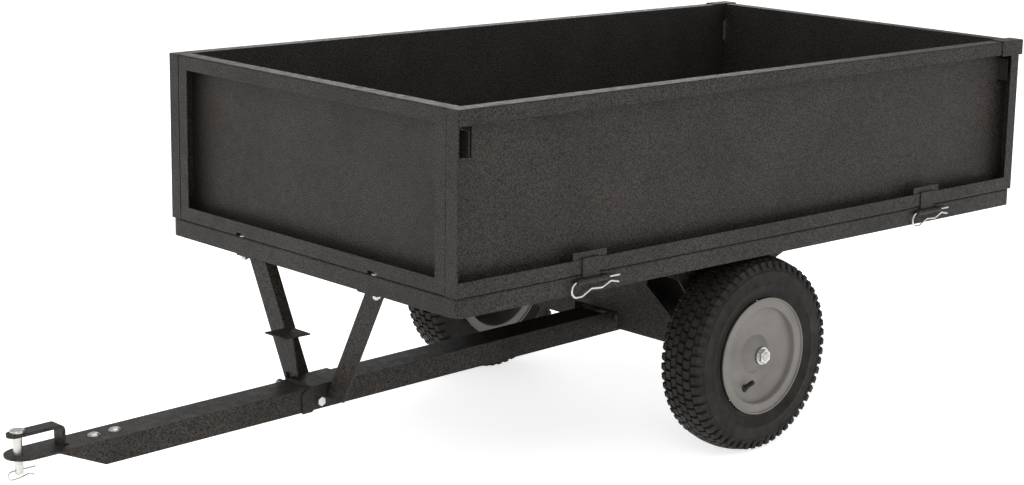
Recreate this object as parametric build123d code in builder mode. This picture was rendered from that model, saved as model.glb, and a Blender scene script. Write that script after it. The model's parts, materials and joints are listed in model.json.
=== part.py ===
from build123d import *
import math
import os

# Tow behind dump cart, in millimetres. +X runs to the tail, +Z is up and Y = 0 is the centre plane.
# The origin lies on the ground, under the middle of the overall box. Left is -Y, right is +Y.

# ---------------------------------------------------------------- driving dimensions
bed_length = 1650.0
bed_width = 896.0
rail_height = 36.0
floor_sheet = 2.0
rail_corner = 18.0
rail_return = 20.0
rail_bend = 4.0
seam_flange = 14.0
seam_gap = 0.5

panel_height = 338.0
panel_depth = 32.0
panel_sheet = 2.0
panel_border = 29.0
panel_bend = 3.0
panel_gap = 0.6

slot_height = 57.0
slot_length = 28.0
slot_drop = 8.0
slot_lead = 4.0
tongue_reach = 22.0
tongue_play = 4.0

cap_length = 74.0
cap_height = 34.0
cap_overhang = 8.0
cap_sheet = 2.0

hinge_set_backs = (326.0, 1338.0)
hinge_drop = 11.0
barrel_radius = 5.5
barrel_length = 54.0
eye_length = 13.0
eye_gap = 0.5
barrel_stand_off = 6.5
tab_sheet = 2.5
tab_width = 44.0
tab_head_width = 86.0
tab_rise = 14.0
tab_foot = 6.0

clip_wire = 4.0
clip_bore_play = 0.35
clip_leg = 109.0
clip_loop = 14.0
clip_lead = 39.0

tyre_diameter = 406.0
tyre_width = 108.0
tyre_wall = 7.0
tread_width = 94.0
tread_crown = 12.0
wheel_plane = 402.0
rim_radius = 121.0
bead_radius = 102.0
rim_sheet = 2.5
rim_seat_width = 48.8
hub_radius = 17.0
hub_length = 90.0
bush_flange = 2.5
bush_wall = 2.0
bush_length = 22.0

axle_set_back = 816.0
axle_radius = 9.5
axle_length = 924.0
axle_drop = 209.0
axle_nut_radius = 15.0
axle_nut_height = 8.0
washer_wall = 8.5
washer_sheet = 2.5
spacer_wall = 4.0

plate_sheet = 3.0
carrier_bottom = 16.0
front_plate_lead = 31.0
rear_plate_lag = 40.0
mouth_half_width = 66.0
mouth_clear = 6.0
side_plate_face = 343.0
flange_width = 26.0
carrier_half = 150.0
seam_clear = 14.0
gusset_half = 203.0
gusset_knee = 138.0
gusset_boss = 26.0
cheek_boss = 24.0

drawbar_width = 72.0
drawbar_depth = 46.0
drawbar_wall = 4.0
drawbar_slope = 1.45
drawbar_rise = 14.5
hitch_reach = 640.0
tongue_start = 556.0
wall_end = 464.0

strap_width = 30.0
strap_thickness = 6.0
strap_gap = 34.0
strap_leg = 533.0
strap_foot_end = 398.0
strap_bend = 9.0
hitch_bolt_set_backs = (-465.0, -422.0)

pin_radius = 8.0
pin_play = 0.4
pin_set_forward = 616.0
pin_head_radius = 13.0
pin_tail = 32.0
hitch_clip_wire = 3.0
hitch_clip_leg = 46.0

saddle_sheet = 3.0
saddle_gap = 0.4
saddle_rear = 84.0
saddle_front = -12.0
saddle_toe = -34.0

strut_face = 24.0
strut_sheet = 3.0
strut_outer = 222.0
strut_inner = 163.0
strut_lean = 27.5
strut_drop = 240.0
strut_flange = 22.0
strut_bolt = 208.0
strut_bolt_set_back = 11.0

catch_radius = 5.0
catch_set_back = 7.0
catch_drop = 14.8
latch_sheet = 3.0
latch_set_forward = 18.0
latch_rise = 4.0
hook_low = -30.0
hook_tip = -24.5
hook_high = 25.0
latch_pivot_radius = 4.0
pedal_height_below_bed = 130.0
pedal_length = 62.0
pedal_inner = 21.0
pedal_outer = 84.0

valve_set_out = 74.0
valve_turn = 245.0
valve_lean = 45.0
valve_radius = 4.0
valve_root = 31.0
valve_tail = 9.0
valve_length = 32.0

m8 = 4.0
m10 = 5.0
fit = 0.05
play = 0.5
seat = 0.3

# ---------------------------------------------------------------- derived places
overall_length = hitch_reach + bed_length + cap_overhang
bed_front = hitch_reach - overall_length / 2
bed_rear = bed_front + bed_length
half_bed = bed_width / 2
axle_x = bed_front + axle_set_back
axle_z = tyre_diameter / 2
rail_bottom = axle_z + axle_drop
floor_top = rail_bottom + rail_height
floor_under = floor_top - floor_sheet
panel_top = floor_top + panel_height
end_panel_half = half_bed - panel_depth - panel_gap
side_sheet_face = half_bed - panel_depth + panel_sheet
hinge_z = floor_top - hinge_drop
hinge_y = half_bed + barrel_stand_off
half_drawbar = drawbar_width / 2
mouth_high = axle_z + drawbar_rise + mouth_clear
drawbar_top = drawbar_rise
drawbar_bottom = drawbar_rise - drawbar_depth
cheek_inner = half_drawbar + saddle_gap
cheek_outer = cheek_inner + saddle_sheet
slope_cos = math.cos(math.radians(drawbar_slope))
slope_sin = math.sin(math.radians(drawbar_slope))

# Side view of the drawbar: local x runs forward along it, local y runs up, the axle is at its origin.
drawbar_side = Plane(origin=(axle_x, 0, axle_z), x_dir=(-slope_cos, 0, -slope_sin), z_dir=(0, 1, 0))
# Top view of the drawbar: local x runs forward along it, local z runs up.
drawbar_plan = Plane(origin=(axle_x, 0, axle_z), x_dir=(-slope_cos, 0, -slope_sin),
                     z_dir=(-slope_sin, 0, slope_cos))
axle_line = Axis((axle_x, 0, axle_z), (0, 1, 0))


def along(set_back):
    """Distance forward from the axle along the drawbar of a point this far behind the bed's front."""
    return axle_set_back - set_back


# ---------------------------------------------------------------- helpers
def block(x0, x1, y0, y1, z0, z1, mode=Mode.ADD):
    """A box between two corners."""
    low_y = min(y0, y1)
    high_y = max(y0, y1)
    with Locations(((x0 + x1) / 2, (low_y + high_y) / 2, (z0 + z1) / 2)):
        Box(x1 - x0, high_y - low_y, z1 - z0, mode=mode)


def rod_y(x, z, radius, y0, y1, mode=Mode.ADD):
    """A cylinder along Y."""
    with Locations(Location((x, (y0 + y1) / 2, z), (90, 0, 0))):
        Cylinder(radius, abs(y1 - y0), mode=mode)


def rod_x(y, z, radius, x0, x1, mode=Mode.ADD):
    """A cylinder along X."""
    with Locations(Location(((x0 + x1) / 2, y, z), (0, 90, 0))):
        Cylinder(radius, abs(x1 - x0), mode=mode)


def rod_z(x, y, radius, z0, z1, mode=Mode.ADD):
    """A cylinder along Z."""
    with Locations((x, y, (z0 + z1) / 2)):
        Cylinder(radius, abs(z1 - z0), mode=mode)


def hexagon(plane, radius, height):
    """A hexagonal head or nut standing on a plane."""
    with BuildSketch(plane) as outline:
        RegularPolygon(radius, 6)
    extrude(outline.sketch, amount=height)


def dome(plane, radius, height):
    """A carriage bolt's low dome, standing on a plane."""
    with BuildSketch(Plane(origin=plane.origin, x_dir=plane.x_dir, z_dir=-plane.y_dir)) as profile:
        with BuildLine():
            Polyline((radius * 0.2, height), (0, height), (0, 0), (radius, 0), (radius, height * 0.2))
            ThreePointArc((radius, height * 0.2), (radius * 0.68, height * 0.76), (radius * 0.2, height))
        make_face()
    revolve(profile.sketch, axis=Axis(plane.origin, plane.z_dir))


def nut(plane, radius, bore, height):
    """A hexagonal nut standing on a plane."""
    with BuildSketch(plane) as outline:
        RegularPolygon(radius, 6)
        Circle(bore, mode=Mode.SUBTRACT)
    extrude(outline.sketch, amount=height)


def save(builder, name):
    """Label a finished piece and write its STEP file."""
    builder.part.label = name
    export_step(builder.part, "parts/" + name + ".step")


# ---------------------------------------------------------------- floor
def floor_outline(side, height, inset, seam_edge):
    """Plan of one floor half at a height, drawn in from its outer edges, with round outer corners."""
    outer = half_bed - inset
    radius = max(rail_corner - inset, 2.0)
    with BuildSketch(Plane.XY.offset(height)) as outline:
        with Locations(((bed_front + bed_rear) / 2, side * (outer + seam_edge) / 2)):
            Rectangle(bed_length - 2 * inset, outer - seam_edge)
        corners = outline.vertices().sort_by(Axis.Y)
        fillet(corners[:2] if side < 0 else corners[-2:], radius=radius)
    return outline.sketch


def carrier_bolt_places():
    """Where the axle carrier is bolted up through the floor."""
    front_x = axle_x - front_plate_lead - plate_sheet - flange_width / 2
    rear_x = axle_x + rear_plate_lag + plate_sheet + flange_width / 2
    side_y = side_plate_face - plate_sheet - flange_width / 2
    across = [(x, y) for x in (front_x, rear_x) for y in (-120.0, -60.0, 60.0, 120.0)]
    along_sides = [(axle_x + d, side * side_y) for d in (-150.0, 150.0) for side in (-1, 1)]
    return across + along_sides


def panel_bolt_places():
    """Where the end panels are bolted down to the floor."""
    front_x = bed_front + panel_depth / 2 + 4
    rear_x = bed_rear - panel_depth / 2 - 4
    return [(x, y) for x in (front_x, rear_x) for y in (-330.0, -90.0, 90.0, 330.0)]


def make_floor(side, name):
    """One half of the floor: a tray open downwards, with a return lip and a flange at the seam."""
    with BuildPart() as floor:
        extrude(floor_outline(side, rail_bottom, 0.0, seam_gap / 2), amount=rail_height)
        top_edges = floor.faces().sort_by(Axis.Z)[-1].edges()
        outer_edges = [e for e in top_edges if abs(e.center().Y) > seam_gap]
        fillet(outer_edges, radius=rail_bend)
        inside = floor_outline(side, rail_bottom + floor_sheet, floor_sheet, seam_gap / 2 + floor_sheet)
        extrude(inside, amount=rail_height - 2 * floor_sheet, mode=Mode.SUBTRACT)
        opening = floor_outline(side, rail_bottom, rail_return, seam_gap / 2 + floor_sheet)
        extrude(opening, amount=floor_sheet, mode=Mode.SUBTRACT)
        seam = sorted((side * seam_gap / 2, side * (seam_gap / 2 + floor_sheet)))
        block(bed_front + floor_sheet, bed_rear - floor_sheet, seam[0], seam[1],
              rail_bottom, floor_under - seam_flange, mode=Mode.SUBTRACT)
        for x, y in carrier_bolt_places() + panel_bolt_places():
            if y * side > 0:
                rod_z(x, y, m8 + fit, floor_under, floor_top, mode=Mode.SUBTRACT)
        strut_x = bed_front + strut_bolt_set_back
        rod_z(strut_x, side * strut_bolt, m8 + fit, rail_bottom, floor_top, mode=Mode.SUBTRACT)
        for x in seam_bolt_places():
            rod_y(x, seam_bolt_z(), m8 + fit, seam[0], seam[1], mode=Mode.SUBTRACT)
    save(floor, name)


def seam_bolt_places():
    """Where the two floor halves are bolted together along the seam."""
    return [bed_front + bed_length * share for share in (0.12, 0.38, 0.62, 0.88)]


def seam_bolt_z():
    """Height of the seam's bolts."""
    return floor_under - seam_flange / 2


# ---------------------------------------------------------------- panels
def end_panel(front, name):
    """Front or rear panel: a tray open outwards, with a folded border and a tongue at each end."""
    x0 = bed_front if front else bed_rear - panel_depth
    x1 = x0 + panel_depth
    face = (x0, x0 + panel_sheet) if front else (x1 - panel_sheet, x1)
    sheet = (x1 - panel_sheet, x1) if front else (x0, x0 + panel_sheet)
    tongue_top = panel_top - panel_border - slot_drop - tongue_play
    tongue_low = panel_top - panel_border - slot_drop - slot_height + tongue_play
    with BuildPart() as panel:
        block(x0, x1, -end_panel_half, end_panel_half, floor_top, panel_top)
        outside = panel.faces().sort_by(Axis.X)[0 if front else -1]
        fillet(outside.edges(), radius=panel_bend)
        block(x0 + panel_sheet, x1 - panel_sheet,
              -end_panel_half + panel_sheet, end_panel_half - panel_sheet,
              floor_top + panel_sheet, panel_top - panel_sheet, mode=Mode.SUBTRACT)
        block(face[0], face[1], -end_panel_half + panel_border, end_panel_half - panel_border,
              floor_top + panel_border, panel_top - panel_border, mode=Mode.SUBTRACT)
        for side in (-1, 1):
            block(sheet[0], sheet[1], side * end_panel_half, side * (side_sheet_face + tongue_reach),
                  tongue_low, tongue_top)
        for x, y in panel_bolt_places():
            rod_z(x, y, m8 + fit, floor_top, floor_top + panel_sheet, mode=Mode.SUBTRACT)
        if front:
            for side in (-1, 1):
                relief_y = side * strut_bolt
                block(x0, x0 + strut_bolt_set_back + 13.0, relief_y - 13.0, relief_y + 13.0,
                      floor_top, floor_top + 7.0, mode=Mode.SUBTRACT)
    save(panel, name)


def side_panel(side, name):
    """Left or right panel: a tray open outwards, with slots near its ends for the end panels' tongues."""
    outer = side * half_bed
    inner = side * (half_bed - panel_depth)
    inward = -side * panel_sheet
    slot_top = panel_top - panel_border - slot_drop
    with BuildPart() as panel:
        block(bed_front, bed_rear, inner, outer, floor_top, panel_top)
        outside = panel.faces().sort_by(Axis.Y)[0 if side < 0 else -1]
        fillet(outside.edges(), radius=panel_bend)
        block(bed_front + panel_sheet, bed_rear - panel_sheet, outer + inward, inner - inward,
              floor_top + panel_sheet, panel_top - panel_sheet, mode=Mode.SUBTRACT)
        block(bed_front + panel_sheet, bed_rear - panel_border, outer + inward, outer,
              floor_top + panel_border, panel_top - panel_border, mode=Mode.SUBTRACT)
        for x0 in (bed_front + panel_depth - slot_lead, bed_rear - panel_depth - slot_lead):
            block(x0, x0 + slot_length, inner - inward, inner, slot_top - slot_height, slot_top,
                  mode=Mode.SUBTRACT)
    save(panel, name)


def corner_cap(side, name):
    """A cap folded over the top rear corner of a side panel."""
    x1 = bed_rear + cap_overhang
    x0 = x1 - cap_length
    inner = side * (half_bed - panel_depth)
    outer = side * (half_bed + cap_sheet)
    top = panel_top + cap_sheet
    with BuildPart() as cap:
        block(x0, x1, inner, outer, top - cap_height, top)
        corner_edges = cap.edges().filter_by(Axis.Y).sort_by(Axis.Z)[-2:]
        fillet(corner_edges.sort_by(Axis.X)[-1], radius=5.0)
        block(x0, bed_rear, inner, side * half_bed, top - cap_height, panel_top, mode=Mode.SUBTRACT)
        block(bed_rear, x1 - cap_sheet, inner, side * half_bed, top - cap_height, panel_top - 1.0,
              mode=Mode.SUBTRACT)
    save(cap, name)


# ---------------------------------------------------------------- side hinges and their clips
def hinge_tabs(side, name):
    """Straps hooked over the panel's lower lip, running down outside the rail to curled barrels."""
    lip_inner = half_bed - panel_sheet
    strap_inner = half_bed + seat
    strap_outer = strap_inner + tab_sheet
    lip_top = floor_top + panel_border
    with BuildPart() as tabs:
        for set_back in hinge_set_backs:
            x = bed_front + set_back
            block(x - tab_head_width / 2, x + tab_head_width / 2, side * (lip_inner - tab_sheet),
                  side * lip_inner, floor_top + tab_foot, lip_top + tab_rise)
            block(x - tab_width / 2, x + tab_width / 2, side * (lip_inner - tab_sheet), side * strap_outer,
                  lip_top, lip_top + tab_sheet)
            block(x - tab_width / 2, x + tab_width / 2, side * strap_inner, side * strap_outer,
                  hinge_z, lip_top + tab_sheet)
            rod_x(side * hinge_y, hinge_z, barrel_radius, x - barrel_length / 2, x + barrel_length / 2)
            rod_x(side * hinge_y, hinge_z, clip_wire / 2 + clip_bore_play, x - barrel_length,
                  x + barrel_length, mode=Mode.SUBTRACT)
    save(tabs, name)


def rail_eyes():
    """The eyes welded to the rails at both ends of each barrel."""
    with BuildPart() as eyes:
        for side in (-1, 1):
            for set_back in hinge_set_backs:
                for end in (-1, 1):
                    near = bed_front + set_back + end * (barrel_length / 2 + eye_gap)
                    far = near + end * eye_length
                    rod_x(side * hinge_y, hinge_z, barrel_radius, near, far)
                    block(min(near, far), max(near, far), side * half_bed, side * hinge_y,
                          hinge_z - barrel_radius, hinge_z + barrel_radius)
                    rod_x(side * hinge_y, hinge_z, clip_wire / 2 + clip_bore_play, near - end, far + end,
                          mode=Mode.SUBTRACT)
    save(eyes, "rail_eyes")


def spring_clip(origin, rearward, wire, leg, loop, wave, name):
    """An R-shaped spring clip in an upright plane: a straight leg, a half-round loop and a wavy leg."""
    with BuildPart() as clip:
        with BuildLine(Plane(origin=origin, x_dir=rearward, z_dir=(0, -1, 0))) as path:
            Line((leg, 0), (0, 0))
            ThreePointArc((0, 0), (-loop, -loop), (0, -2 * loop))
            FilletPolyline((0, -2 * loop), *wave, radius=2 * wire)
        with BuildSketch(Plane(origin=path.line @ 0, z_dir=path.line % 0)):
            Circle(wire / 2)
        sweep(path=path.line)
    save(clip, name)


def hinge_clip(side, set_back, name):
    """The spring clip that is the pin of one side hinge, with its loop to the front."""
    origin = (bed_front + set_back - clip_lead, side * hinge_y, hinge_z)
    crest = barrel_radius + clip_wire / 2 + 1.0
    wave = [(12, -2 * clip_loop), (36, -16), (64, -18),
            (clip_leg - 22, -crest), (clip_leg - 2, -crest - 4.5)]
    spring_clip(origin, (1, 0, 0), clip_wire, clip_leg, clip_loop, wave, name)


# ---------------------------------------------------------------- drawbar and hitch
def make_drawbar():
    """A channel open downwards, drawn out into a round-ended tongue at the front."""
    half_wall = half_drawbar - drawbar_wall
    front_top = along(-tongue_start)
    front_low = along(-wall_end)
    rear_round = -drawbar_bottom
    cut_back = rear_round + 14.5
    with BuildPart() as drawbar:
        with BuildSketch(drawbar_side):
            with BuildLine():
                Polyline((0, drawbar_bottom), (front_low, drawbar_bottom),
                         (front_top, drawbar_top - drawbar_wall), (front_top, drawbar_top),
                         (0, drawbar_top), (0, drawbar_bottom))
            make_face()
            Circle(rear_round)
            with Locations((0, drawbar_top + rear_round)):
                Rectangle(4 * rear_round, 2 * rear_round, mode=Mode.SUBTRACT)
        extrude(amount=half_drawbar, both=True)
        with BuildSketch(drawbar_side):
            with BuildLine():
                Polyline((cut_back, drawbar_bottom - 1), (front_top + 20, drawbar_bottom - 1),
                         (front_top + 20, drawbar_top - drawbar_wall),
                         (cut_back, drawbar_top - drawbar_wall), (cut_back, drawbar_bottom - 1))
            make_face()
            with Locations((0, 0)):
                Rectangle(2 * cut_back, 3 * rear_round)
        extrude(amount=half_wall, both=True, mode=Mode.SUBTRACT)
        with BuildSketch(drawbar_plan.offset(drawbar_top - drawbar_wall)):
            nose = along(-hitch_reach) - half_drawbar
            with Locations(((front_top - 30 + nose) / 2, 0)):
                Rectangle(nose - front_top + 30, drawbar_width)
            with Locations((nose, 0)):
                Circle(half_drawbar)
        extrude(amount=drawbar_wall)
        with BuildSketch(drawbar_plan.offset(drawbar_top)):
            with Locations((along(-pin_set_forward), 0)):
                Circle(pin_radius + pin_play)
            with Locations(*[(along(s), 0) for s in hitch_bolt_set_backs]):
                Circle(m10 + fit)
            with Locations((along(-strap_leg) + (strap_thickness / 2 - strap_bend) / 2, 0)):
                Rectangle(strap_bend + strap_thickness / 2 + 2 * play, strap_width + 2 * play)
        extrude(amount=-drawbar_wall, mode=Mode.SUBTRACT)
        rod_y(axle_x, axle_z, axle_radius + bush_wall, -half_drawbar, half_drawbar, mode=Mode.SUBTRACT)
        with BuildSketch(drawbar_side):
            with Locations((along(catch_set_back), -catch_drop)):
                Circle(catch_radius + fit)
        extrude(amount=half_drawbar, both=True, mode=Mode.SUBTRACT)
    save(drawbar, "drawbar")


def make_hitch_strap():
    """The bar above the tongue: its leg passes down through the top plate and its foot bolts up under it."""
    under = drawbar_top - drawbar_wall - strap_thickness / 2
    over = drawbar_top + strap_gap + strap_thickness / 2
    tip = along(-hitch_reach + 4) - strap_width / 2
    leg = along(-strap_leg)
    with BuildPart() as strap:
        with BuildSketch(drawbar_side):
            with BuildLine():
                FilletPolyline((along(-strap_foot_end), under), (leg, under), (leg, over), (tip, over),
                               radius=strap_bend)
            trace(line_width=strap_thickness)
        extrude(amount=strap_width / 2, both=True)
        with BuildSketch(drawbar_plan.offset(drawbar_top + strap_gap)):
            with Locations((tip, 0)):
                Circle(strap_width / 2)
        extrude(amount=strap_thickness)
        with BuildSketch(drawbar_plan.offset(drawbar_top + strap_gap)):
            with Locations((along(-pin_set_forward), 0)):
                Circle(pin_radius + pin_play)
        extrude(amount=strap_thickness, mode=Mode.SUBTRACT)
        with BuildSketch(drawbar_plan.offset(drawbar_top - drawbar_wall)):
            with Locations(*[(along(s), 0) for s in hitch_bolt_set_backs]):
                Circle(m10 + fit)
        extrude(amount=-strap_thickness, mode=Mode.SUBTRACT)
    save(strap, "hitch_strap")


def make_hitch_bolts():
    """Two carriage bolts through the tongue and the strap's foot, and their nuts."""
    grip = drawbar_wall + strap_thickness
    with BuildPart() as bolts:
        for set_back in hitch_bolt_set_backs:
            top = drawbar_level(along(set_back), drawbar_top)
            with BuildSketch(top):
                Circle(m10)
            extrude(amount=-grip - 13.0)
            dome(top, 11.5, 5.5)
    save(bolts, "hitch_bolts")
    with BuildPart() as nuts:
        for set_back in hitch_bolt_set_backs:
            nut(drawbar_level(along(set_back), drawbar_top - grip - 8.0), 9.5, m10, 8.0)
    save(nuts, "hitch_nuts")


def make_hitch_pin():
    """The drop pin through strap and tongue, with a flat head and a cross hole for its clip."""
    top = drawbar_top + strap_gap + strap_thickness + seat
    low = drawbar_top - drawbar_wall - pin_tail
    with BuildPart() as pin:
        with BuildSketch(drawbar_plan.offset(top)):
            with Locations((along(-pin_set_forward), 0)):
                Circle(pin_head_radius)
        extrude(amount=5.0)
        fillet(pin.faces().sort_by(Axis.Z)[-1].edges(), radius=2.0)
        with BuildSketch(drawbar_plan.offset(top)):
            with Locations((along(-pin_set_forward), 0)):
                Circle(pin_radius)
        extrude(amount=low - top)
        chamfer(pin.faces().sort_by(Axis.Z)[0].edges(), length=2.0)
        with BuildSketch(Plane(origin=hitch_clip_origin(), z_dir=(-slope_cos, 0, -slope_sin))):
            Circle(hitch_clip_wire / 2 + clip_bore_play)
        extrude(amount=30.0, both=True, mode=Mode.SUBTRACT)
    save(pin, "hitch_pin")


def hitch_clip_origin():
    """Where the hitch clip's straight leg crosses the middle of the pin."""
    x, z = drawbar_point(along(-pin_set_forward), drawbar_top - drawbar_wall - pin_tail + 7.0)
    return (x, 0, z)


def make_hitch_clip():
    """The spring clip through the hitch pin, with its loop to the front."""
    centre = hitch_clip_origin()
    lead = 14.0
    origin = (centre[0] - lead * slope_cos, 0, centre[2] - lead * slope_sin)
    loop = 7.5
    gap = pin_radius + hitch_clip_wire / 2 + 1.0
    wave = [(5, -2 * loop), (lead + 3, -gap - 3.5), (lead + 18, -gap), (hitch_clip_leg - 3, -gap - 4)]
    spring_clip(origin, (slope_cos, 0, slope_sin), hitch_clip_wire, hitch_clip_leg, loop, wave, "hitch_clip")


# ---------------------------------------------------------------- front support and latch
def make_saddle():
    """An upside-down channel that straddles the drawbar, with slots that drop over the catch bolt."""
    rear = along(saddle_rear)
    front = along(saddle_front)
    toe = along(saddle_toe)
    low = drawbar_bottom + 6.0
    inside_top = drawbar_top + saddle_gap
    slot = catch_radius + 1.5
    catch_u = along(catch_set_back)
    with BuildPart() as saddle:
        with BuildSketch(drawbar_side):
            with BuildLine():
                Polyline((rear, low), (rear, inside_top + saddle_sheet), (front, inside_top + saddle_sheet),
                         (toe, drawbar_top - 8), (toe, drawbar_bottom - 2), (toe - 22, drawbar_bottom - 2),
                         (toe - 32, low), (rear, low))
            make_face()
        extrude(amount=cheek_outer, both=True)
        with BuildSketch(drawbar_side):
            with Locations(((rear + toe) / 2, inside_top - drawbar_depth)):
                Rectangle(toe - rear + 40, 2 * drawbar_depth)
        extrude(amount=cheek_inner, both=True, mode=Mode.SUBTRACT)
        with BuildSketch(drawbar_side):
            with Locations((catch_u, -catch_drop)):
                Circle(slot)
            with Locations((catch_u, -catch_drop - 20)):
                Rectangle(2 * slot, 40)
        extrude(amount=cheek_outer, both=True, mode=Mode.SUBTRACT)
        rod_y(latch_x(), latch_z(), latch_pivot_radius, cheek_inner, cheek_outer, mode=Mode.SUBTRACT)
    save(saddle, "saddle")


def strut_y(edge, height):
    """How far from the centre plane a strut's edge is at a height, from its place at the rail."""
    return edge - (rail_bottom - height) * math.tan(math.radians(strut_lean))


def make_strut(side, name):
    """An angle section from the front rail down to the saddle's cheek, with a foot turned forward on top."""
    x = bed_front + strut_face
    low = rail_bottom - strut_drop
    meet = rail_bottom - (strut_inner - cheek_outer) / math.tan(math.radians(strut_lean))
    lean_sin = math.sin(math.radians(strut_lean))
    lean_cos = math.cos(math.radians(strut_lean))
    with BuildPart() as strut:
        with BuildSketch(Plane.YZ.offset(x)):
            with BuildLine():
                Polyline((side * strut_inner, rail_bottom), (side * (strut_outer - 6), rail_bottom),
                         (side * strut_y(strut_outer - 6, low), low), (side * cheek_outer, low),
                         (side * cheek_outer, meet), (side * strut_inner, rail_bottom))
            make_face()
        extrude(amount=strut_sheet)
        with BuildSketch(Plane.YZ.offset(x)):
            with BuildLine():
                Polyline((side * strut_inner, rail_bottom), (side * cheek_outer, meet),
                         (side * cheek_outer, meet - strut_sheet / lean_sin),
                         (side * (strut_inner + strut_sheet * lean_cos),
                          rail_bottom - strut_sheet * lean_sin),
                         (side * strut_inner, rail_bottom))
            make_face()
        extrude(amount=strut_sheet + strut_flange)
        block(bed_front + 1.0, x + strut_sheet, side * strut_inner, side * strut_outer,
              rail_bottom - strut_sheet, rail_bottom)
        rod_z(bed_front + strut_bolt_set_back, side * strut_bolt, m8 + fit,
              rail_bottom - strut_sheet, rail_bottom, mode=Mode.SUBTRACT)
    save(strut, name)


def make_strut_bolts():
    """Long carriage bolts down through the front rail and the struts' feet, and their nuts."""
    x = bed_front + strut_bolt_set_back
    low = rail_bottom - strut_sheet
    with BuildPart() as bolts:
        for side in (-1, 1):
            rod_z(x, side * strut_bolt, m8, low - 9.0, floor_top)
            dome(Plane((x, side * strut_bolt, floor_top)), 9.5, 5.0)
    save(bolts, "strut_bolts")
    with BuildPart() as nuts:
        for side in (-1, 1):
            nut(Plane((x, side * strut_bolt, low - 6.5)), 7.5, m8, 6.5)
    save(nuts, "strut_nuts")


def make_catch():
    """The bolt across the drawbar that the latch hooks under, and its nut."""
    x, z = drawbar_point(along(catch_set_back), -catch_drop)
    head = cheek_outer + play
    nut_face = cheek_outer + 2 * play + latch_sheet
    with BuildPart() as bolt:
        rod_y(x, z, catch_radius, -head, nut_face + 11.0)
        hexagon(Plane(origin=(x, -head, z), z_dir=(0, -1, 0)), 9.2, 6.5)
    save(bolt, "catch_bolt")
    with BuildPart() as catch_nut:
        nut(Plane(origin=(x, nut_face, z), z_dir=(0, 1, 0)), 9.2, catch_radius, 8.0)
    save(catch_nut, "catch_nut")


def drawbar_point(forward, up):
    """The X and Z of a point given in the drawbar's side view."""
    return (axle_x - forward * slope_cos - up * slope_sin, axle_z - forward * slope_sin + up * slope_cos)


def drawbar_level(forward, up):
    """A plane square to the drawbar's depth at a point given in its side view, facing up."""
    x, z = drawbar_point(forward, up)
    return Plane(origin=(x, 0, z), x_dir=drawbar_plan.x_dir, z_dir=drawbar_plan.z_dir)


def latch_x():
    """X of the latch's pivot."""
    return drawbar_point(along(-latch_set_forward), latch_rise)[0]


def latch_z():
    """Z of the latch's pivot."""
    return drawbar_point(along(-latch_set_forward), latch_rise)[1]


def make_latch():
    """The foot pedal, its arm and the hook plate beside the saddle's right cheek, in one welded piece."""
    inner = cheek_outer + play
    hook_front = along(-latch_set_forward) - 3
    hook_end = along(catch_set_back) + catch_radius + 1.6
    arm_x = bed_front - 6.0
    arm_low = drawbar_point(along(0), drawbar_top + saddle_gap + saddle_sheet)[1] + 6.5
    pedal_z = rail_bottom - pedal_height_below_bed
    with BuildPart() as latch:
        with BuildSketch(drawbar_side.offset(inner)):
            with BuildLine():
                Polyline((hook_front, latch_rise), (hook_front, hook_low), (hook_end, hook_low),
                         (hook_end, hook_tip), (along(0) + 2.5, hook_tip), (along(0) + 2.5, hook_high),
                         (along(0) + 10, hook_high), (hook_front, latch_rise))
            make_face()
            with Locations((along(-latch_set_forward), latch_rise)):
                Circle(10)
        extrude(amount=latch_sheet)
        with BuildSketch(Plane.YZ.offset(arm_x)):
            with BuildLine():
                Polyline((8, arm_low), (inner + latch_sheet, arm_low), (pedal_outer - 6, pedal_z),
                         (pedal_inner + 4, pedal_z), (8, arm_low))
            make_face()
        extrude(amount=-latch_sheet)
        block(arm_x - 8, arm_x, inner, inner + latch_sheet, arm_low - 9, arm_low + 4)
        block(bed_front - pedal_length / 2, bed_front + pedal_length / 2, pedal_inner, pedal_outer,
              pedal_z, pedal_z + latch_sheet)
        rod_y(latch_x(), latch_z(), latch_pivot_radius + fit, inner, inner + latch_sheet, mode=Mode.SUBTRACT)
    save(latch, "latch_pedal")


def make_latch_pivot():
    """The shoulder rivet in the cheek that the latch turns on, and the coil spring around it."""
    spring_start = cheek_outer + play + latch_sheet + seat
    spring_end = spring_start + 11.0
    with BuildPart() as pivot:
        rod_y(latch_x(), latch_z(), latch_pivot_radius, cheek_inner, spring_end + seat + 3.0)
        rod_y(latch_x(), latch_z(), 9.0, spring_end + seat, spring_end + seat + 3.0)
    save(pivot, "latch_pivot")
    wire = 0.9
    start = (latch_x(), spring_start + wire, latch_z())
    with BuildPart() as spring:
        with BuildLine() as path:
            Helix(pitch=2.3, height=9.2, radius=6.0, center=start, direction=(0, 1, 0))
        with BuildSketch(Plane(origin=path.line @ 0, z_dir=path.line % 0)):
            Circle(wire)
        sweep(path=path.line, is_frenet=True)
    save(spring, "latch_spring")


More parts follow.
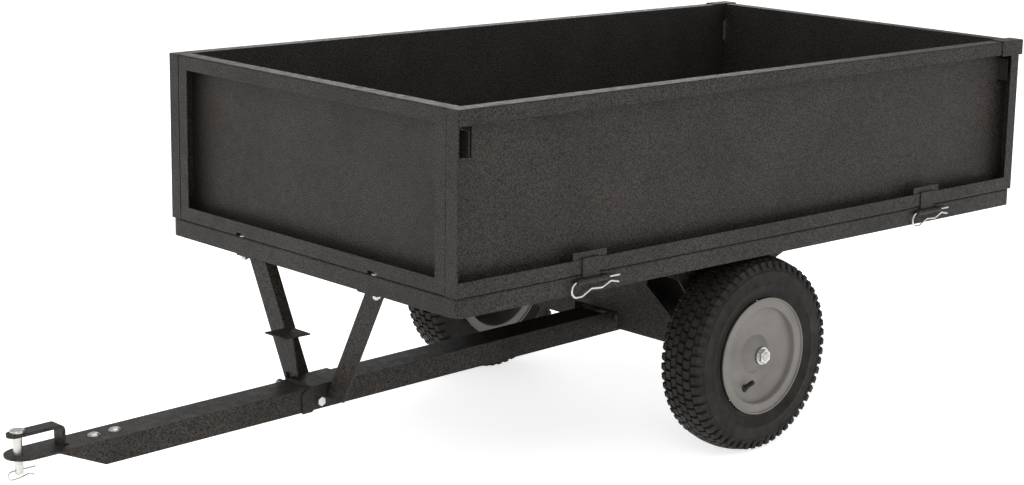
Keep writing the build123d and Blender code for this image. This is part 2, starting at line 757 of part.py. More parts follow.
# ---------------------------------------------------------------- axle and its carrier
def carrier_plate_outline(x, bell):
    """Half of a transverse plate in front or rear view, mirrored about the centre plane."""
    inner_face = side_plate_face - plate_sheet
    low = axle_z - carrier_bottom
    top = floor_under
    with BuildSketch(Plane.YZ.offset(x)) as outline:
        with BuildLine():
            if bell:
                Polyline((0, low), (inner_face, low), (inner_face, low + 38), (225, low + 58),
                         (carrier_half + 1, low + 112), (carrier_half, top), (0, top), (0, low))
            else:
                Polyline((0, low), (inner_face, low), (inner_face, top - plate_sheet),
                         (inner_face - flange_width, top - plate_sheet), (inner_face - flange_width, top),
                         (0, top), (0, low))
        make_face()
        mirror(about=Plane.YZ)
        with Locations((0, (low + mouth_high) / 2)):
            Rectangle(2 * mouth_half_width, mouth_high - low, mode=Mode.SUBTRACT)
        with Locations((0, top - seam_flange)):
            Rectangle(2 * seam_clear - 4, 2 * seam_flange + 8, mode=Mode.SUBTRACT)
    return outline.sketch


def carrier_plate(front, name):
    """Front or rear plate of the axle carrier, with a flange bolted up under the floor."""
    x0 = axle_x - front_plate_lead - plate_sheet if front else axle_x + rear_plate_lag
    flange = (x0 - flange_width, x0) if front else (x0 + plate_sheet, x0 + plate_sheet + flange_width)
    with BuildPart() as plate:
        extrude(carrier_plate_outline(x0, front), amount=plate_sheet)
        for side in (-1, 1):
            block(flange[0], flange[1], side * seam_clear, side * carrier_half,
                  floor_under - plate_sheet, floor_under)
        for x, y in carrier_bolt_places():
            if flange[0] < x < flange[1]:
                rod_z(x, y, m8 + fit, floor_under - plate_sheet, floor_under, mode=Mode.SUBTRACT)
    save(plate, name)


def side_plate(side, name):
    """A gusset beside a wheel that carries the axle, with a flange bolted up under the floor."""
    outer = side * side_plate_face
    inner = side * (side_plate_face - plate_sheet)
    with BuildPart() as plate:
        with BuildSketch(Plane.XZ.offset(-outer)):
            with BuildLine():
                Polyline((axle_x - gusset_boss, axle_z), (axle_x - gusset_knee, rail_bottom - 52),
                         (axle_x - gusset_half, rail_bottom - 26), (axle_x - gusset_half, floor_under),
                         (axle_x + gusset_half, floor_under), (axle_x + gusset_half, rail_bottom - 26),
                         (axle_x + gusset_knee, rail_bottom - 52), (axle_x + gusset_boss, axle_z),
                         (axle_x - gusset_boss, axle_z))
            make_face()
            with Locations((axle_x, axle_z)):
                Circle(gusset_boss)
        extrude(amount=plate_sheet * side)
        block(axle_x - gusset_half, axle_x + gusset_half, inner,
              side * (side_plate_face - plate_sheet - flange_width), floor_under - plate_sheet, floor_under)
        rod_y(axle_x, axle_z, axle_radius, min(inner, outer) - 1, max(inner, outer) + 1, mode=Mode.SUBTRACT)
        for x, y in carrier_bolt_places():
            if abs(abs(y) - side_plate_face + plate_sheet + flange_width / 2) < 1 and y * side > 0:
                rod_z(x, y, m8 + fit, floor_under - plate_sheet, floor_under, mode=Mode.SUBTRACT)
    save(plate, name)


def make_carrier_cheeks():
    """Two plates beside the drawbar's end, between the carrier's transverse plates."""
    x0 = axle_x - front_plate_lead
    x1 = axle_x + rear_plate_lag
    with BuildPart() as cheeks:
        for side in (-1, 1):
            with BuildSketch(Plane.XZ.offset(-side * mouth_half_width)):
                with BuildLine():
                    Polyline((x0, axle_z - 10), (x0, mouth_high), (x1, mouth_high),
                             (x1, axle_z - 10), (x0, axle_z - 10))
                make_face()
                with Locations((axle_x, axle_z)):
                    Circle(cheek_boss)
            extrude(amount=-plate_sheet * side)
        rod_y(axle_x, axle_z, axle_radius, -2 * mouth_half_width, 2 * mouth_half_width, mode=Mode.SUBTRACT)
    save(cheeks, "carrier_cheeks")


def make_axle():
    """The axle through both wheels, its spacers beside the drawbar, washers and nuts."""
    half = axle_length / 2
    with BuildPart() as axle:
        rod_y(axle_x, axle_z, axle_radius, -half, half)
        chamfer(axle.edges().filter_by(GeomType.CIRCLE), length=1.5)
    save(axle, "axle")
    with BuildPart() as spacers:
        for side in (-1, 1):
            ring(side * (half_drawbar + bush_flange + seat), side * mouth_half_width,
                 axle_radius + spacer_wall, axle_radius)
    save(spacers, "pivot_spacers")
    with BuildPart() as bushes:
        for side in (-1, 1):
            ring(side * (half_drawbar - drawbar_wall), side * half_drawbar, axle_radius + bush_wall,
                 axle_radius + fit)
            ring(side * half_drawbar, side * (half_drawbar + bush_flange), axle_radius + bush_wall + 4.0,
                 axle_radius + fit)
    save(bushes, "pivot_bushes")
    hub_inner = wheel_plane - hub_length / 2 - bush_flange
    hub_outer = wheel_plane + hub_length / 2 + bush_flange
    with BuildPart() as washers:
        for side in (-1, 1):
            ring(side * side_plate_face, side * (hub_inner - seat), axle_radius + spacer_wall, axle_radius)
            ring(side * (hub_outer + seat), side * (hub_outer + seat + washer_sheet),
                 axle_radius + washer_wall, axle_radius)
    save(washers, "axle_washers")
    with BuildPart() as nuts:
        for side in (-1, 1):
            face = side * (hub_outer + seat + washer_sheet)
            end = Plane(origin=(axle_x, face, axle_z), z_dir=(0, side, 0))
            nut(end, axle_nut_radius, axle_radius, axle_nut_height)
    save(nuts, "axle_nuts")


def ring(y0, y1, outer, inner):
    """A ring around the axle between two places along it."""
    profile = Plane(origin=(axle_x, 0, axle_z), x_dir=(0, 1, 0), z_dir=(1, 0, 0))
    with BuildSketch(profile) as section:
        with Locations(((y0 + y1) / 2, (inner + outer) / 2)):
            Rectangle(abs(y1 - y0), outer - inner)
    revolve(section.sketch, axis=axle_line)


def make_bolt_groups():
    """Carriage bolts that hold the carrier and the end panels to the floor, and the seam's bolts."""
    flange_under = floor_under - plate_sheet
    sheet_top = floor_top + panel_sheet
    with BuildPart() as bolts:
        for x, y in carrier_bolt_places():
            rod_z(x, y, m8, flange_under - 9.5, floor_top)
            dome(Plane((x, y, floor_top)), 9.0, 3.5)
    save(bolts, "carrier_bolts")
    with BuildPart() as nuts:
        for x, y in carrier_bolt_places():
            nut(Plane((x, y, flange_under - 6.5)), 7.5, m8, 6.5)
    save(nuts, "carrier_nuts")
    with BuildPart() as panel_bolts:
        for x, y in panel_bolt_places():
            rod_z(x, y, m8, floor_under - 9.5, sheet_top)
            dome(Plane((x, y, sheet_top)), 9.0, 3.5)
    save(panel_bolts, "panel_bolts")
    with BuildPart() as panel_nuts:
        for x, y in panel_bolt_places():
            nut(Plane((x, y, floor_under - 6.5)), 7.5, m8, 6.5)
    save(panel_nuts, "panel_nuts")
    reach = seam_gap / 2 + floor_sheet
    with BuildPart() as seam_bolts:
        for x in seam_bolt_places():
            rod_y(x, seam_bolt_z(), m8, -reach, reach + 9.0)
            hexagon(Plane(origin=(x, -reach, seam_bolt_z()), z_dir=(0, -1, 0)), 6.5, 5.0)
    save(seam_bolts, "seam_bolts")
    with BuildPart() as seam_nuts:
        for x in seam_bolt_places():
            nut(Plane(origin=(x, reach, seam_bolt_z()), z_dir=(0, 1, 0)), 6.5, m8, 6.0)
    save(seam_nuts, "seam_nuts")


# ---------------------------------------------------------------- wheels
def wheel_section(side):
    """Section plane of a wheel: local x runs outward along the axle from the wheel's middle, y is radius."""
    return Plane(origin=(axle_x, side * wheel_plane, axle_z), x_dir=(0, side, 0), z_dir=(side, 0, 0))


def make_tyre(side, name):
    """A hollow tubeless tyre, open between its two beads."""
    radius = tyre_diameter / 2
    half = tyre_width / 2
    tread = tread_width / 2
    shoulder = radius - tread_crown * 0.75
    bead_outer = rim_seat_width - rim_sheet - seat
    bead_inner = bead_outer - 11.0
    bead_top = rim_radius + 0.8
    bead_low = bead_radius + seat
    belly = (bead_radius + radius) / 2 + 2
    inner_tread = tread - tyre_wall - 3.0
    inner_shoulder = shoulder - tyre_wall - 4.0
    with BuildPart() as tyre:
        with BuildSketch(wheel_section(side)) as section:
            with BuildLine():
                Polyline((bead_inner, bead_low), (bead_outer, bead_low), (bead_outer, bead_top))
                ThreePointArc((bead_outer, bead_top), (half, belly), (tread, shoulder))
                ThreePointArc((tread, shoulder), (0, radius), (-tread, shoulder))
                ThreePointArc((-tread, shoulder), (-half, belly), (-bead_outer, bead_top))
                Polyline((-bead_outer, bead_top), (-bead_outer, bead_low), (-bead_inner, bead_low))
                ThreePointArc((-bead_inner, bead_low), (tyre_wall - half, belly),
                              (-inner_tread, inner_shoulder))
                ThreePointArc((-inner_tread, inner_shoulder), (0, radius - tread_crown),
                              (inner_tread, inner_shoulder))
                ThreePointArc((inner_tread, inner_shoulder), (half - tyre_wall, belly),
                              (bead_inner, bead_low))
            make_face()
        revolve(section.sketch, axis=axle_line)
    save(tyre, name)


def rim_outer(side, name):
    """The pressed outer half of a rim: lip, bead seat and a dished disc out to the end of the hub."""
    seat_line = bead_radius - rim_sheet / 2
    with BuildPart() as rim:
        with BuildSketch(wheel_section(side)):
            with BuildLine():
                FilletPolyline((53, rim_radius - rim_sheet / 2), (49, rim_radius - rim_sheet / 2),
                               (48, seat_line), (36, seat_line - 1.2), (33, 84), (27, 60), (27, 40),
                               (44, hub_radius + 0.8), radius=2)
            trace(line_width=rim_sheet)
        revolve(axis=axle_line)
        with BuildSketch(valve_plane(side)):
            Circle(valve_radius)
        extrude(amount=valve_length, both=True, mode=Mode.SUBTRACT)
    save(rim, name)


def rim_inner(side, name):
    """The pressed inner half of a rim: lip, bead seat, drum, and a disc behind the outer one."""
    seat_line = bead_radius - rim_sheet / 2
    behind = rim_sheet + seat
    with BuildPart() as rim:
        with BuildSketch(wheel_section(side)):
            with BuildLine():
                FilletPolyline((-53, rim_radius - rim_sheet / 2), (-49, rim_radius - rim_sheet / 2),
                               (-48, seat_line), (-36, seat_line - 1.2),
                               (36 - behind * 1.03, seat_line - 1.2),
                               (33 - behind * 1.03, 84), (27 - behind * 1.03, 60), (27 - behind * 1.03, 40),
                               (-20, hub_radius + 1.15), radius=2)
            trace(line_width=rim_sheet)
        revolve(axis=axle_line)
        with BuildSketch(valve_plane(side)):
            Circle(valve_radius)
        extrude(amount=valve_length, both=True, mode=Mode.SUBTRACT)
    save(rim, name)


def valve_plane(side):
    """The plane square to the valve stem, which leans out from the disc towards the rim's edge."""
    turn = math.radians(valve_turn)
    lean = math.radians(valve_lean)
    radial = (math.cos(turn), math.sin(turn))
    root_x = axle_x + valve_set_out * radial[0]
    root_z = axle_z + valve_set_out * radial[1]
    out = (radial[0] * math.sin(lean), side * math.cos(lean), radial[1] * math.sin(lean))
    return Plane(origin=(root_x, side * (wheel_plane + valve_root), root_z), z_dir=out)


def make_wheel(side, label):
    """Tyre, two rim halves, hub, bushes and valve stem of one wheel."""
    make_tyre(side, "tyre_" + label)
    rim_outer(side, "rim_outer_" + label)
    rim_inner(side, "rim_inner_" + label)
    inner_end = side * (wheel_plane - hub_length / 2)
    outer_end = side * (wheel_plane + hub_length / 2)
    with BuildPart() as hub:
        ring(inner_end, outer_end, hub_radius, axle_radius + bush_wall)
    save(hub, "hub_" + label)
    with BuildPart() as bushes:
        for end, out in ((inner_end, -side), (outer_end, side)):
            ring(end, end - out * bush_length, axle_radius + bush_wall, axle_radius + fit)
            ring(end, end + out * bush_flange, hub_radius - 2.0, axle_radius + fit)
    save(bushes, "hub_bushes_" + label)
    with BuildPart() as valve:
        with BuildSketch(valve_plane(side).offset(-valve_tail)):
            Circle(valve_radius)
        extrude(amount=valve_tail + valve_length)
    save(valve, "valve_stem_" + label)


# ---------------------------------------------------------------- everything
os.makedirs("parts", exist_ok=True)
for hand, side_name in ((-1, "left"), (1, "right")):
    make_floor(hand, "floor_" + side_name)
    side_panel(hand, "panel_" + side_name)
    corner_cap(hand, "corner_cap_" + side_name)
    hinge_tabs(hand, "hinge_tabs_" + side_name)
    hinge_clip(hand, hinge_set_backs[0], "hinge_clip_" + side_name + "_front")
    hinge_clip(hand, hinge_set_backs[1], "hinge_clip_" + side_name + "_rear")
    make_strut(hand, "strut_" + side_name)
    side_plate(hand, "side_plate_" + side_name)
    make_wheel(hand, side_name)
end_panel(True, "panel_front")
end_panel(False, "panel_rear")
rail_eyes()
make_bolt_groups()
make_strut_bolts()
carrier_plate(True, "carrier_front")
carrier_plate(False, "carrier_rear")
make_carrier_cheeks()
make_axle()
make_drawbar()
make_hitch_strap()
make_hitch_bolts()
make_hitch_pin()
make_hitch_clip()
make_saddle()
make_catch()
make_latch()
make_latch_pivot()
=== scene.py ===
import json
import math

import bmesh
import bpy
from mathutils import Matrix, Vector


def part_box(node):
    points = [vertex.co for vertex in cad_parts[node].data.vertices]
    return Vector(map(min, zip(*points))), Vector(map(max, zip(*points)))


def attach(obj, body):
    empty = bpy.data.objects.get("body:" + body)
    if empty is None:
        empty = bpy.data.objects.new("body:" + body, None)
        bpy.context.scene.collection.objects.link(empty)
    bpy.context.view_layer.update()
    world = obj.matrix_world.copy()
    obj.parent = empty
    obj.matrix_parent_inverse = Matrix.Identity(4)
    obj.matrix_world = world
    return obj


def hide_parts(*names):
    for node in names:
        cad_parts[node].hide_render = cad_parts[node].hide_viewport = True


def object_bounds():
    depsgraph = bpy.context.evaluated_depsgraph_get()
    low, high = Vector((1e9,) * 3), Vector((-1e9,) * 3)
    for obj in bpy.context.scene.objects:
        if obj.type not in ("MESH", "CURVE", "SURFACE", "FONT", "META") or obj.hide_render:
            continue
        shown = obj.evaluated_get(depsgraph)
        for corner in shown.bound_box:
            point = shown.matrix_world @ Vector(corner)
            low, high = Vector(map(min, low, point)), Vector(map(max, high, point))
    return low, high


# Looks of the tow behind cart: procedural materials on the CAD nodes, treaded tyres and capped valves in
# place of the plain ones, a studio floor, soft lights and the camera. Metres; +X to the tail, +Z up, and
# left is -Y.

# ---------------------------------------------------------------- the frame and its sizes
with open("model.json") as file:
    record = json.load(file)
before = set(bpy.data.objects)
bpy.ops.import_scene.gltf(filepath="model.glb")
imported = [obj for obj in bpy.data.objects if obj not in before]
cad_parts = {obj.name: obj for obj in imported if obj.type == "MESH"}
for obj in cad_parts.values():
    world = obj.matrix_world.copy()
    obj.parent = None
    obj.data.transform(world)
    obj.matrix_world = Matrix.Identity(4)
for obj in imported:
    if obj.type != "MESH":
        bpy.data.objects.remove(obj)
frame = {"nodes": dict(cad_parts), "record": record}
cad_low, cad_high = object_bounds()
nodes = frame["nodes"]

# the camera
SENSOR = 36.0
LENS = 77.361328
SHIFT = (-0.0608398, -0.0139160)
CAMERA_PLACE = Vector((-2.9608, -3.2984, 1.3960))
CAMERA_BACK = Vector((-0.6765, -0.7053, 0.2119))  # from the target to the camera
CAMERA_ROLL = math.radians(1.214)

# the tyre
LUGS = 58  # lug pitches round the tyre
CARCASS_TURNS = 4 * LUGS
CROWN_DROP = 0.009  # fall of the tread's top from its middle to its shoulder
TREAD_DEPTH = 0.0055
TREAD_HALF = 0.047
CARCASS_SHARE = 0.93  # of the tread's half width, where the carcass's top ends
BEAD_LAP = 0.003  # how far the bead reaches in under the rim's flange
TOP_SINK = 0.0002  # keeps the blocks inside the CAD tyre's box
ROOT_SINK = 0.001  # the blocks' feet stand this far inside the carcass
FLANK_FALL = 2.7  # fall of the flank lugs for each unit across
FLANK_DEPTH = 0.0038
BLOCK_EDGE = 0.0009  # height of a block's soft edge
BLOCK_DRAFT = 0.05  # share by which a block narrows to its shoulder
FACE_DRAFT = 0.11  # share by which a block narrows to its face
TYRE_CREASE = math.radians(38.0)

# tread blocks on one side: (place across, share of a pitch) corners
MIDDLE_BLOCK = ((0.0008, 0.0), (0.0150, 0.16), (0.0150, 0.98), (0.0068, 0.92), (0.0008, 0.78))
ROW_BLOCK = ((0.0168, 0.0), (0.0262, 0.10), (0.0328, 0.0), (0.0328, 0.80), (0.0262, 0.90), (0.0168, 0.80))
SHOULDER_LUG = ((0.0346, 0.0), (0.0462, -0.06), (0.0462, 0.70), (0.0346, 0.76))
LONG_FLANK = ((0.0464, -0.04), (0.0515, 0.03), (0.0515, 0.50), (0.0464, 0.60))
SHORT_FLANK = ((0.0464, -0.04), (0.0500, 0.03), (0.0500, 0.50), (0.0464, 0.60))

# the valve: profiles are (radius, height, knurl) points from the root up
VALVE_TURN = math.radians(245.0)  # its place round the wheel
VALVE_MIDDLE = 0.0115  # from the stem's root to the middle of its CAD box
VALVE_RIBS = 28
VALVE_CREASE = math.radians(35.0)
GROMMET = ((0.0080, -0.0005, 0.0), (0.0082, 0.0016, 0.0), (0.0070, 0.0034, 0.0), (0.0030, 0.0044, 0.0))
STEM = ((0.0052, 0.0005, 0.0), (0.0050, 0.0100, 0.0), (0.0042, 0.0126, 0.0), (0.0042, 0.0138, 0.0))
CAP = ((0.0050, 0.0142, 0.0005), (0.0050, 0.0236, 0.0005), (0.0040, 0.0256, 0.0), (0.0015, 0.0260, 0.0))

# the studio
FLOOR_REACH = 40.0
FLOOR_PAINT = (0.93, 0.93, 0.93, 1.0)
FLOOR_GLOW = 0.72
WHITE = (1.0, 1.0, 1.0, 1.0)
SKY = 0.55
LIGHT_TARGET = (0.1, 0.0, 0.45)
# name, place, width of the square, watts
LIGHTS = (
    ("key", (-3.4, -3.4, 3.6), 3.0, 62.0),
    ("side", (2.6, -4.2, 2.4), 3.0, 36.0),
    ("front", (-4.6, 1.2, 1.9), 2.4, 30.0),
    ("top", (0.2, 0.6, 4.6), 4.0, 55.0),
    ("back", (3.2, 3.6, 2.6), 2.6, 36.0),
)


# ---------------------------------------------------------------- materials
class Graph:
    """A material's node tree with short calls for the nodes this scene uses."""

    def __init__(self, name, metallic=0.0, coat=0.0):
        self.material = bpy.data.materials.new(name)
        self.material.use_nodes = True
        self.tree = self.material.node_tree
        self.shader = self.tree.nodes["Principled BSDF"]
        self.shader.inputs["Metallic"].default_value = metallic
        self.shader.inputs["Coat Weight"].default_value = coat
        self.shader.inputs["Coat Roughness"].default_value = 0.35
        self.shader.inputs["Specular IOR Level"].default_value = 0.5 if metallic else 0.18
        self.place = self.tree.nodes.new("ShaderNodeTexCoord").outputs["Object"]

    def add(self, kind, inputs, output):
        node = self.tree.nodes.new(kind)
        for name, value in inputs.items():
            if isinstance(value, bpy.types.NodeSocket):
                self.tree.links.new(value, node.inputs[name])
            else:
                node.inputs[name].default_value = value
        return node.outputs[output]

    def noise(self, scale, detail=2.0, stretch=(1.0, 1.0, 1.0)):
        place = self.add("ShaderNodeMapping", {"Vector": self.place, "Scale": stretch}, "Vector")
        return self.add("ShaderNodeTexNoise", {"Vector": place, "Scale": scale, "Detail": detail}, "Fac")

    def cells(self, scale):
        return self.add("ShaderNodeTexVoronoi", {"Vector": self.place, "Scale": scale}, "Distance")

    def ramp(self, value, low, high, start, end):
        """value from low to high becomes start to end; both ends are numbers or colours."""
        if isinstance(start, (int, float)):
            return self.add(
                "ShaderNodeMapRange",
                {"Value": value, "From Min": low, "From Max": high, "To Min": start, "To Max": end},
                "Result",
            )
        node = self.tree.nodes.new("ShaderNodeValToRGB")
        self.tree.links.new(value, node.inputs["Fac"])
        first, last = node.color_ramp.elements
        first.position, first.color = low, (*start, 1.0)
        last.position, last.color = high, (*end, 1.0)
        return node.outputs["Color"]

    def blend(self, factor, first, second, kind="MIX"):
        node = self.tree.nodes.new("ShaderNodeMix")
        node.data_type = "RGBA"
        node.blend_type = kind
        sockets = (node.inputs["Factor"], node.inputs[6], node.inputs[7])
        for socket, value in zip(sockets, (factor, first, second)):
            if isinstance(value, bpy.types.NodeSocket):
                self.tree.links.new(value, socket)
            else:
                socket.default_value = value
        return node.outputs[2]

    def bump(self, height, strength, distance, normal=None):
        inputs = {"Height": height, "Strength": strength, "Distance": distance}
        if normal is not None:
            inputs["Normal"] = normal
        return self.add("ShaderNodeBump", inputs, "Normal")

    def rounded(self, radius):
        """Normals that round the sheet's sharp edges."""
        node = self.tree.nodes.new("ShaderNodeBevel")
        node.samples = 4
        node.inputs["Radius"].default_value = radius
        return node.outputs["Normal"]

    def finish(self, colour, roughness, normal):
        self.tree.links.new(colour, self.shader.inputs["Base Color"])
        self.tree.links.new(roughness, self.shader.inputs["Roughness"])
        self.tree.links.new(normal, self.shader.inputs["Normal"])
        return self.material


def hammered_paint():
    """Black powder coat with a hammered grain: fine light flecks, small dimples, slow clouds of gloss."""
    g = Graph("black_hammertone")
    flecks = g.ramp(g.noise(430.0, 3.0), 0.38, 0.68, (0.0035, 0.0028, 0.0022), (0.056, 0.048, 0.042))
    clouds = g.ramp(g.noise(7.0, 3.0), 0.3, 0.7, (0.82, 0.82, 0.82), (1.14, 1.14, 1.14))
    colour = g.blend(1.0, flecks, clouds, "MULTIPLY")
    roughness = g.ramp(g.noise(60.0, 3.0), 0.3, 0.7, 0.40, 0.56)
    dimples = g.bump(g.cells(250.0), 0.30, 0.0009, g.rounded(0.0009))
    normal = g.bump(g.noise(800.0, 1.0), 0.16, 0.0004, dimples)
    return g.finish(colour, roughness, normal)


def rim_paint():
    """Warm grey paint with slight orange peel and a little road film."""
    g = Graph("rim_grey", coat=0.15)
    film = g.ramp(g.noise(16.0, 4.0), 0.35, 0.75, (0.190, 0.177, 0.162), (0.150, 0.140, 0.126))
    spots = g.ramp(g.noise(220.0, 2.0), 0.62, 0.78, (1.0, 1.0, 1.0), (0.80, 0.79, 0.77))
    colour = g.blend(1.0, film, spots, "MULTIPLY")
    roughness = g.ramp(g.noise(35.0, 3.0), 0.3, 0.7, 0.32, 0.46)
    normal = g.bump(g.noise(420.0, 2.0), 0.10, 0.0005, g.rounded(0.0008))
    return g.finish(colour, roughness, normal)


def zinc_plate():
    """Bright zinc: pale metal with faint clouds and fine scratches."""
    g = Graph("zinc_plate", metallic=1.0)
    colour = g.ramp(g.noise(90.0, 4.0), 0.3, 0.75, (0.64, 0.625, 0.59), (0.44, 0.435, 0.42))
    roughness = g.ramp(g.noise(300.0, 3.0), 0.3, 0.7, 0.22, 0.42)
    normal = g.bump(g.noise(900.0, 2.0), 0.12, 0.0003, g.rounded(0.0004))
    return g.finish(colour, roughness, normal)


def drawn_bar():
    """Bare drawn steel with marks along its length."""
    g = Graph("drawn_bar", metallic=1.0)
    colour = g.ramp(g.noise(300.0, 3.0, (1.0, 0.04, 1.0)), 0.3, 0.7, (0.34, 0.33, 0.32), (0.52, 0.51, 0.50))
    roughness = g.ramp(g.noise(120.0, 3.0, (1.0, 0.1, 1.0)), 0.3, 0.7, 0.30, 0.48)
    return g.finish(colour, roughness, g.bump(g.noise(500.0, 2.0, (1.0, 0.04, 1.0)), 0.1, 0.0003))


def tyre_rubber():
    """Black rubber with a moulded grain and a thin bloom of dust."""
    g = Graph("tyre_rubber")
    rubber = g.ramp(g.noise(40.0, 4.0), 0.3, 0.7, (0.0092, 0.0074, 0.0062), (0.019, 0.0158, 0.0132))
    dust = g.ramp(g.noise(11.0, 5.0), 0.45, 0.8, (0.0, 0.0, 0.0), (0.35, 0.35, 0.35))
    colour = g.blend(dust, rubber, (0.040, 0.034, 0.028, 1.0))
    roughness = g.ramp(g.noise(70.0, 3.0), 0.3, 0.7, 0.52, 0.74)
    normal = g.bump(g.noise(650.0, 3.0), 0.22, 0.0006, g.rounded(0.0006))
    return g.finish(colour, roughness, normal)


def moulded(name, low, high, grain):
    """Plain moulded rubber or nylon with a fine grain."""
    g = Graph(name)
    colour = g.ramp(g.noise(60.0, 3.0), 0.3, 0.7, low, high)
    roughness = g.ramp(g.noise(150.0, 2.0), 0.3, 0.7, 0.45, 0.62)
    return g.finish(colour, roughness, g.bump(g.noise(grain, 2.0), 0.2, 0.0004, g.rounded(0.0005)))


FINISHES = {
    "black_paint": hammered_paint(),
    "grey_paint": rim_paint(),
    "zinc": zinc_plate(),
    "bare_steel": drawn_bar(),
    "tyre_rubber": tyre_rubber(),
    "black_rubber": moulded("valve_rubber", (0.012, 0.012, 0.012), (0.024, 0.023, 0.022), 900.0),
    "nylon": moulded("bush_nylon", (0.030, 0.030, 0.030), (0.050, 0.049, 0.047), 600.0),
}


def dress_cad_nodes():
    """Each CAD node takes the finish of its own slot in the record."""
    for row in frame["record"]["subparts"]:
        for slot in nodes[row["node"]].material_slots:
            slot.link = "OBJECT"
            slot.material = FINISHES[row["material_slot"]]


# ---------------------------------------------------------------- new objects
def add_object(mesh, name):
    """A scene object made from a bmesh, which is used up."""
    data = bpy.data.meshes.new(name)
    mesh.to_mesh(data)
    mesh.free()
    piece = bpy.data.objects.new(name, data)
    bpy.context.scene.collection.objects.link(piece)
    return piece


def add_piece(mesh, name, finish, crease):
    """A smooth shaded piece in one finish, with edges sharper than the crease kept sharp."""
    bmesh.ops.recalc_face_normals(mesh, faces=mesh.faces)
    piece = add_object(mesh, name)
    piece.data.materials.append(FINISHES[finish])
    for face in piece.data.polygons:
        face.use_smooth = True
    piece.data.set_sharp_from_angle(angle=crease)
    return piece


# ---------------------------------------------------------------- treaded tyres
def crown(across, radius):
    """Radius of the tread's top at a distance from the tyre's middle plane."""
    return radius - CROWN_DROP * (across / TREAD_HALF) ** 2


def carcass_profile(radius, half, bead):
    """(across, radius) points from the outer bead over the tread to the inner bead, under the lugs."""
    side = [
        (0.0460, bead + 0.002),
        (0.0470, bead + 0.0085),
        (0.0462, bead + 0.0105),
        (0.0488, bead + 0.0175),
        (half * 0.965, bead + 0.029),
        (half * 0.985, bead + 0.0305),
        (half * 0.968, bead + 0.0325),
        (half * 0.955, bead + 0.043),
        (half * 0.948, bead + 0.056),
        (half * 0.965, bead + 0.0572),
        (half * 0.930, bead + 0.0586),
        (half * 0.905, bead + 0.064),
        (half * 0.860, radius - 0.0185),
    ]
    top = []
    for step in range(-4, 5):
        across = TREAD_HALF * CARCASS_SHARE * step / 4.0
        top.append((-across, crown(across, radius) - TREAD_DEPTH))
    return side + top + [(-a, r) for a, r in reversed(side)]


def ring_surface(mesh, profile, turns):
    """Turns an open profile about the axle (the Y axis) into a closed band of quads."""
    rows = []
    for k in range(turns):
        turn = 2.0 * math.pi * k / turns
        rows.append([mesh.verts.new((r * math.cos(turn), a, r * math.sin(turn))) for a, r in profile])
    for k in range(turns):
        here, after = rows[k], rows[(k + 1) % turns]
        for i in range(len(profile) - 1):
            mesh.faces.new((here[i], here[i + 1], after[i + 1], after[i]))


def block(mesh, outline, top, root):
    """A tread block: outline is (across, turn) corners; top and root give a radius for each place across."""
    middle_across = sum(a for a, t in outline) / len(outline)
    middle_turn = sum(t for a, t in outline) / len(outline)

    def point(across, turn, radius):
        return mesh.verts.new((radius * math.cos(turn), across, radius * math.sin(turn)))

    def toward(value, middle, share):
        return value + (middle - value) * share

    foot = [point(a, t, root(a)) for a, t in outline]
    shoulder = [
        point(
            toward(a, middle_across, BLOCK_DRAFT),
            toward(t, middle_turn, BLOCK_DRAFT),
            top(a) - BLOCK_EDGE,
        )
        for a, t in outline
    ]
    face = [
        point(toward(a, middle_across, FACE_DRAFT), toward(t, middle_turn, FACE_DRAFT), top(a))
        for a, t in outline
    ]
    count = len(outline)
    for i in range(count):
        j = (i + 1) % count
        mesh.faces.new((foot[i], foot[j], shoulder[j], shoulder[i]))
        mesh.faces.new((shoulder[i], shoulder[j], face[j], face[i]))
    mesh.faces.new(face)


def tread(mesh, radius):
    """Turf tread: a zigzag middle row, two staggered rows of blocks and lugs that run down the sides."""
    pitch = 2.0 * math.pi / LUGS

    def top(across):
        return crown(across, radius) - TOP_SINK

    def root(across):
        return crown(across, radius) - TREAD_DEPTH - ROOT_SINK

    def flank_top(across):
        return radius - CROWN_DROP - (abs(across) - TREAD_HALF) * FLANK_FALL

    def flank_root(across):
        return flank_top(across) - FLANK_DEPTH

    for k in range(LUGS):
        flank = SHORT_FLANK if k % 2 else LONG_FLANK
        for side in (-1, 1):
            # the rows' starts, in pitches; the two sides are half a pitch apart
            middle, row, shoulder = (0.0, 0.5, 0.05) if side > 0 else (0.5, 0.0, 0.55)
            for corners, start, outer, inner in (
                (MIDDLE_BLOCK, middle, top, root),
                (ROW_BLOCK, row, top, root),
                (SHOULDER_LUG, shoulder, top, root),
                (flank, shoulder, flank_top, flank_root),
            ):
                outline = [(side * across, pitch * (k + start + share)) for across, share in corners]
                block(mesh, outline, outer, inner)


def make_tyre(label):
    """A treaded tyre in the box of its CAD node, open at the beads, riding on its wheel."""
    low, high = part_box("tyre_" + label)
    middle = (low + high) / 2
    radius = (high.x - low.x) / 2
    half = (high.y - low.y) / 2
    rim_low, rim_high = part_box("rim_outer_" + label)
    bead = (rim_high.x - rim_low.x) / 2 - BEAD_LAP
    mesh = bmesh.new()
    ring_surface(mesh, carcass_profile(radius, half, bead), CARCASS_TURNS)
    tread(mesh, radius)
    tyre = add_piece(mesh, "treaded_tyre_" + label, "tyre_rubber", TYRE_CREASE)
    tyre.location = middle
    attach(tyre, "wheel_" + label)
    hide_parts("tyre_" + label)


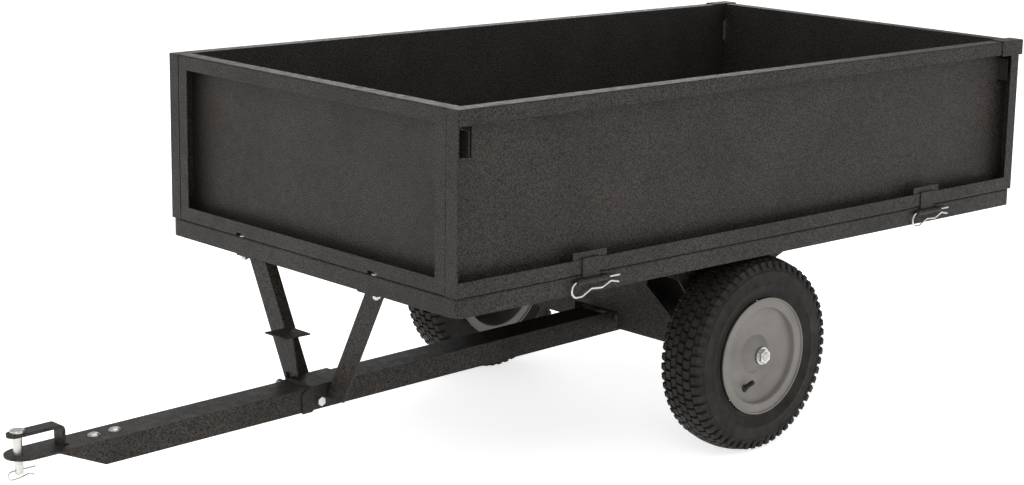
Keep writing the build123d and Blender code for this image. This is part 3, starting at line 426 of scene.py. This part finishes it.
# ---------------------------------------------------------------- valve stems
def lathe(mesh, root, axis, profile):
    """Turns (radius, height, knurl) points about an axis into a closed body; knurl sinks every other rib."""
    across = axis.orthogonal().normalized()
    other = axis.cross(across)
    rows = []
    for radius, height, knurl in profile:
        row = []
        for k in range(VALVE_RIBS):
            turn = 2.0 * math.pi * k / VALVE_RIBS
            reach = radius - (knurl if k % 2 else 0.0)
            spoke = across * math.cos(turn) + other * math.sin(turn)
            row.append(mesh.verts.new(root + axis * height + spoke * reach))
        rows.append(row)
    for below, above in zip(rows, rows[1:]):
        for k in range(VALVE_RIBS):
            j = (k + 1) % VALVE_RIBS
            mesh.faces.new((below[k], below[j], above[j], above[k]))
    mesh.faces.new(rows[0])
    mesh.faces.new(rows[-1])


def make_valve(label, side):
    """A rubber grommet over the hole in the disc, with a stem and a knurled cap that lean in to the hub."""
    low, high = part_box("valve_stem_" + label)
    radial = Vector((math.cos(VALVE_TURN), 0.0, math.sin(VALVE_TURN)))
    outward = Vector((0.0, side, 0.0))
    root = (low + high) / 2 - (radial + outward).normalized() * VALVE_MIDDLE
    mesh = bmesh.new()
    lathe(mesh, root, outward, GROMMET)
    lathe(mesh, root, (outward - radial).normalized(), STEM + CAP)
    valve = add_piece(mesh, "capped_valve_" + label, "black_rubber", VALVE_CREASE)
    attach(valve, "wheel_" + label)
    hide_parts("valve_stem_" + label)


# ---------------------------------------------------------------- studio
def make_floor():
    """A wide pale floor at the height of the tyres' lowest point."""
    mesh = bmesh.new()
    bmesh.ops.create_grid(mesh, x_segments=2, y_segments=2, size=FLOOR_REACH)
    floor = add_object(mesh, "studio_floor")
    floor.location.z = cad_low.z
    paint = bpy.data.materials.new("studio_floor")
    paint.use_nodes = True
    shader = paint.node_tree.nodes["Principled BSDF"]
    shader.inputs["Base Color"].default_value = FLOOR_PAINT
    shader.inputs["Roughness"].default_value = 0.9
    shader.inputs["Emission Color"].default_value = WHITE
    shader.inputs["Emission Strength"].default_value = FLOOR_GLOW
    floor.data.materials.append(paint)


def soft_light(name, place, size, power):
    """A square area light aimed at the cart."""
    data = bpy.data.lights.new(name, "AREA")
    data.shape = "SQUARE"
    data.size = size
    data.energy = power
    light = bpy.data.objects.new(name, data)
    bpy.context.scene.collection.objects.link(light)
    light.location = place
    aim = Vector(LIGHT_TARGET) - Vector(place)
    light.rotation_euler = aim.to_track_quat("-Z", "Y").to_euler()


def make_lights():
    """The soft lights and the pale sky round them."""
    for row in LIGHTS:
        soft_light(*row)
    world = bpy.data.worlds.new("studio")
    world.use_nodes = True
    background = world.node_tree.nodes["Background"]
    background.inputs["Color"].default_value = WHITE
    background.inputs["Strength"].default_value = SKY
    bpy.context.scene.world = world
    bpy.context.scene.view_settings.view_transform = "Standard"


def make_camera():
    """The camera: its lens and shift, and its place, turn and small roll."""
    data = bpy.data.cameras.new("camera")
    data.sensor_width = SENSOR
    data.lens = LENS
    data.shift_x, data.shift_y = SHIFT
    back = CAMERA_BACK.normalized()
    level = Vector((0, 0, 1)).cross(back).normalized()
    upright = back.cross(level)
    right = level * math.cos(CAMERA_ROLL) + upright * math.sin(CAMERA_ROLL)
    up = upright * math.cos(CAMERA_ROLL) - level * math.sin(CAMERA_ROLL)
    camera = bpy.data.objects.new("camera", data)
    bpy.context.scene.collection.objects.link(camera)
    turn = Matrix((right, up, back)).transposed().to_4x4()
    camera.matrix_world = Matrix.Translation(CAMERA_PLACE) @ turn
    bpy.context.scene.camera = camera


# ---------------------------------------------------------------- everything
make_camera()
dress_cad_nodes()
for label, side in (("left", -1), ("right", 1)):
    make_tyre(label)
    make_valve(label, side)
make_floor()
make_lights()
